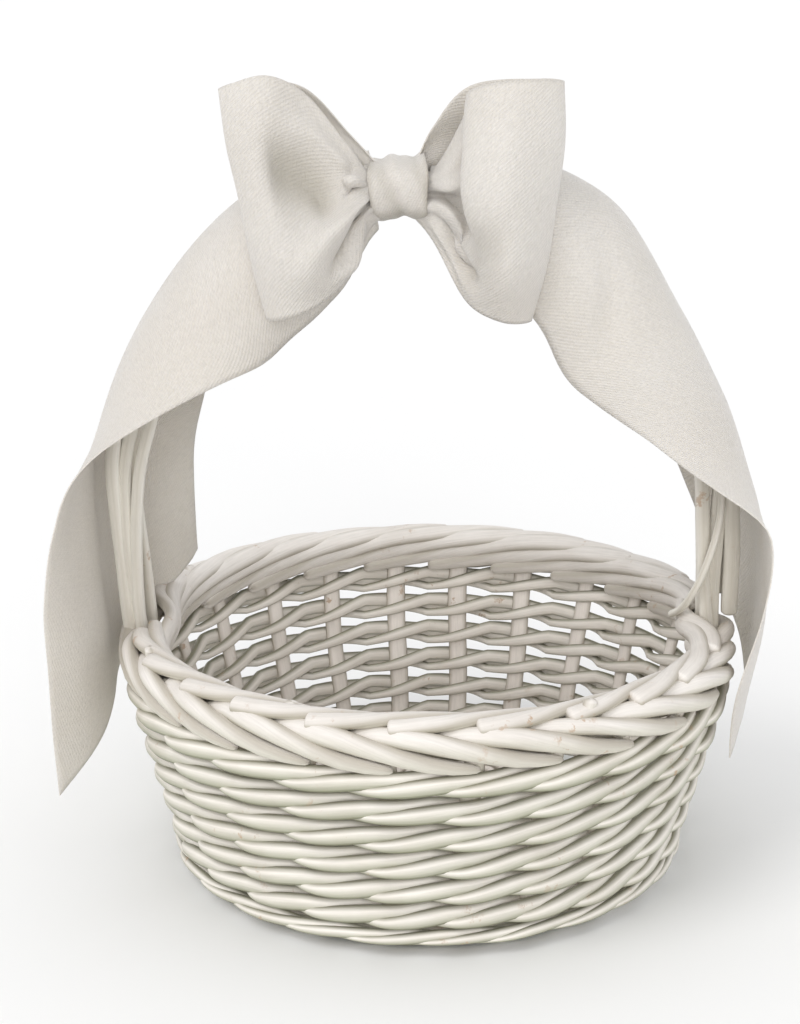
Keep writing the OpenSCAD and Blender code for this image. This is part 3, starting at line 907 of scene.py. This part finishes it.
# The folds that the knot pulls into each loop: where each starts and ends as station and share of
# the width, how far it stands proud, or sinks if below 0, and how wide it is
LEFT_FOLDS = (
    ((0.2, 0.62), (3.0, 0.31), 7.0, 0.08),
    ((0.2, 0.44), (2.4, 0.15), -5.0, 0.05),
    ((0.3, 0.24), (2.6, 0.05), 3.2, 0.06),
    ((2.1, 0.61), (4.1, 0.64), -6.5, 0.13),
    ((0.1, 0.80), (1.9, 0.73), 4.6, 0.055),
    ((0.2, 0.71), (1.9, 0.665), -3.5, 0.035),
    ((1.8, 0.86), (3.6, 0.80), 2.6, 0.06),
    ((6.4, 0.45), (8.8, 0.50), -2.5, 0.14),
)
RIGHT_FOLDS = (
    ((0.1, 0.70), (2.2, 0.60), 4.6, 0.08),
    ((0.2, 0.52), (2.6, 0.42), -4.4, 0.055),
    ((0.2, 0.36), (2.6, 0.27), 3.6, 0.06),
    ((0.3, 0.22), (3.0, 0.15), -2.6, 0.035),
    ((0.3, 0.12), (3.0, 0.07), 2.2, 0.03),
    ((2.6, 0.30), (4.2, 0.42), -2.2, 0.12),
    ((6.4, 0.40), (8.8, 0.50), -2.5, 0.14),
)
LOOP_ROWS = 110
LOOP_COLUMNS = 56


def net_surface(net, rows, columns):
    """A smooth surface through a net of points."""
    net = np.array(net, float)
    down, across = np.arange(net.shape[0]), np.arange(net.shape[1])
    u = np.linspace(0, down[-1], rows)
    v = np.linspace(0, across[-1], columns)
    lines = np.stack([[through(down, net[:, j, k], u) for k in range(3)] for j in across])
    return np.stack([[through(across, lines[:, k, i], v) for k in range(3)] for i in range(rows)]
                    ).transpose(0, 2, 1)


def fold_heights(folds, u, v):
    """How far the folds lift a loop's surface at station u and share v of its width."""
    total = 0 * u * v
    for start, end, height, width in folds:
        along = np.clip((u - start[0]) / (end[0] - start[0]), 0, 1)
        middle = start[1] + (end[1] - start[1]) * along
        reach = (u - start[0]) / (end[0] - start[0])
        fade = ease((reach + 0.15) / 0.35) * ease((1.15 - reach) / 0.5)
        total = total + height * fade * np.exp(-((v - middle) / width) ** 2)
    return total


def bow_loops():
    """Two open loops, pleated where the knot gathers them."""
    for name, net, folds, side, seed in (
        ("left", LEFT_LOOP, LEFT_FOLDS, -1, 511),
        ("right", RIGHT_LOOP, RIGHT_FOLDS, 1, 512),
    ):
        rng = np.random.default_rng(seed)
        grid = net_surface(net, LOOP_ROWS, LOOP_COLUMNS)
        u = np.linspace(0, len(net) - 1, LOOP_ROWS)[:, None]
        v = np.linspace(0, 1, LOOP_COLUMNS)[None, :]
        from_knot = np.minimum(u, len(net) - 1 - u)
        phase = rng.uniform(0, 2 * math.pi, 3)
        pleats = 1.6 * np.exp(-from_knot / 0.8) * np.sin(2 * math.pi * (3.5 * v) + phase[0])
        near = np.exp(-((from_knot - 1.8) / 1.2) ** 2)
        creases = 0.5 * near * np.sin(2 * math.pi * (3.3 * v - 0.3 * u) + phase[1])
        soft = 0.4 * np.sin(1.3 * u + 4 * v + phase[2])
        height = pleats + creases + soft + fold_heights(folds, u, v) * ease((from_knot - 0.4) / 0.9)
        grid = grid + grid_normals(grid) * height[..., None]
        grid[..., 0] = KNOT_X + side * grid[..., 0]
        grid[..., 2] += HOOP_TOP
        shade = -height / 7.5
        if side < 0:
            grid, shade = grid[:, ::-1], shade[:, ::-1]
        piece = cloth(f"silk_loop_{name}", lean_hoop(grid), RIBBON_THICKNESS, SILK, shade)
        dress(piece, "bow", f"bow_loop_{name}")


def bow_knot():
    """A band of the same ribbon, folded narrow and wrapped round the hoop and the gathered bow."""
    low, high = -24.0, 10.5
    depth, height, width = (high - low) / 2, 10.4, 20.0
    around, columns = 120, 30
    turn = np.linspace(0, 2 * math.pi, around)[:, None]
    v = np.linspace(-1, 1, columns)[None, :]
    waist = 1 - 0.05 * (1 - v**2) + 0.03 * v
    crease = 0.75 * np.sin(5 * v + 2.4 * np.sin(turn))
    crease = crease + 0.45 * np.sin(11 * v - 1.5 * turn) * np.cos(turn / 2)
    y = depth * np.sign(np.cos(turn)) * abs(np.cos(turn)) ** 0.75 * waist
    z = height * np.sign(np.sin(turn)) * abs(np.sin(turn)) ** 0.75 * waist
    spread = np.stack([0 * turn * v, y, z], axis=-1)
    grid = spread + unit(spread) * crease[..., None]
    grid[..., 0] = KNOT_X + v * width / 2 * (1 + 0.04 * np.sin(3 * turn))
    grid[..., 1] += (low + high) / 2
    grid[..., 2] += HOOP_TOP + 0.6
    shade = np.clip(-crease / 1.2, 0, 1) * 0.6 + 0.5 * ease((abs(v) - 0.78) / 0.22)
    shade = shade + 0.8 * ease((-np.sin(turn) - 0.35) / 0.5)
    piece = cloth("silk_knot", lean_hoop(grid[:, ::-1]), 0.8, SILK, shade[:, ::-1])
    dress(piece, "bow", "bow_knot")


# ---------- studio ----------

CAMERA_PLACE = (0.0, -0.7755, 0.3676)
CAMERA_LOOKS_DOWN = 16.87
CAMERA_LENS = 77.3
CAMERA_SHIFT = -0.0273
FLOOR_HALF = 12.0


def camera():
    """It stands in front of the basket, higher than its bow, and looks down at it."""
    data = bpy.data.cameras.new("camera")
    data.sensor_width = 36.0
    data.lens = CAMERA_LENS
    data.shift_x = CAMERA_SHIFT
    piece = bpy.data.objects.new("camera", data)
    piece.location = CAMERA_PLACE
    piece.rotation_euler = (math.radians(90 - CAMERA_LOOKS_DOWN), 0, 0)
    bpy.context.scene.collection.objects.link(piece)
    bpy.context.scene.camera = piece


def floor():
    """A wide near-white floor."""
    material, shader, node, link = new_material("studio_floor")
    grain = node("TexNoise", {"Vector": node("TexCoord").outputs["Object"]}, Scale=3.0, Detail=2.0)
    tone = colour_mix(node, grain.outputs["Fac"], (0.90, 0.90, 0.90, 1), (0.93, 0.93, 0.925, 1))
    link(tone, shader.inputs["Base Color"])
    shader.inputs["Roughness"].default_value = 0.9
    shader.inputs["Specular IOR Level"].default_value = 0.1
    mesh = bpy.data.meshes.new("studio_floor")
    corners = [(x * FLOOR_HALF, y * FLOOR_HALF, 0) for x, y in ((-1, -1), (1, -1), (1, 1), (-1, 1))]
    mesh.from_pydata(corners, [], [(0, 1, 2, 3)])
    mesh.materials.append(material)
    piece = bpy.data.objects.new("studio_floor", mesh)
    bpy.context.scene.collection.objects.link(piece)


def soft_sun(name, towards, strength, colour, spread):
    """A wide, even light. It lies in the direction towards, and spread is its width in degrees."""
    data = bpy.data.lights.new(name, "SUN")
    data.energy = strength
    data.color = colour
    data.angle = math.radians(spread)
    piece = bpy.data.objects.new(name, data)
    tilt = math.atan2(math.hypot(towards[0], towards[1]), towards[2])
    piece.rotation_euler = (tilt, 0, math.atan2(towards[1], towards[0]) + math.pi / 2)
    bpy.context.scene.collection.objects.link(piece)


def lights():
    """White surroundings, a key light from the front left above, and a lower one from the front."""
    world = bpy.data.worlds.new("studio")
    world.use_nodes = True
    background = world.node_tree.nodes["Background"]
    background.inputs["Color"].default_value = (0.985, 0.99, 1.0, 1)
    background.inputs["Strength"].default_value = 0.86
    bpy.context.scene.world = world
    soft_sun("key", towards=(-0.6, -0.6, 1.0), strength=0.75, colour=(1.0, 0.985, 0.965), spread=30)
    soft_sun("front", towards=(0.05, -1.0, 0.38), strength=0.75, colour=(1.0, 0.99, 0.98), spread=30)
    bpy.context.scene.view_settings.view_transform = "Standard"


camera()
base_sticks()
base_weavers()
foot_and_upsett()
wale()
stakes()
border_strands()
border_tails()
border_stubs()
hoop_rods()
hoop_twig()
ribbon_tails()
bow_loops()
bow_knot()
floor()
lights()
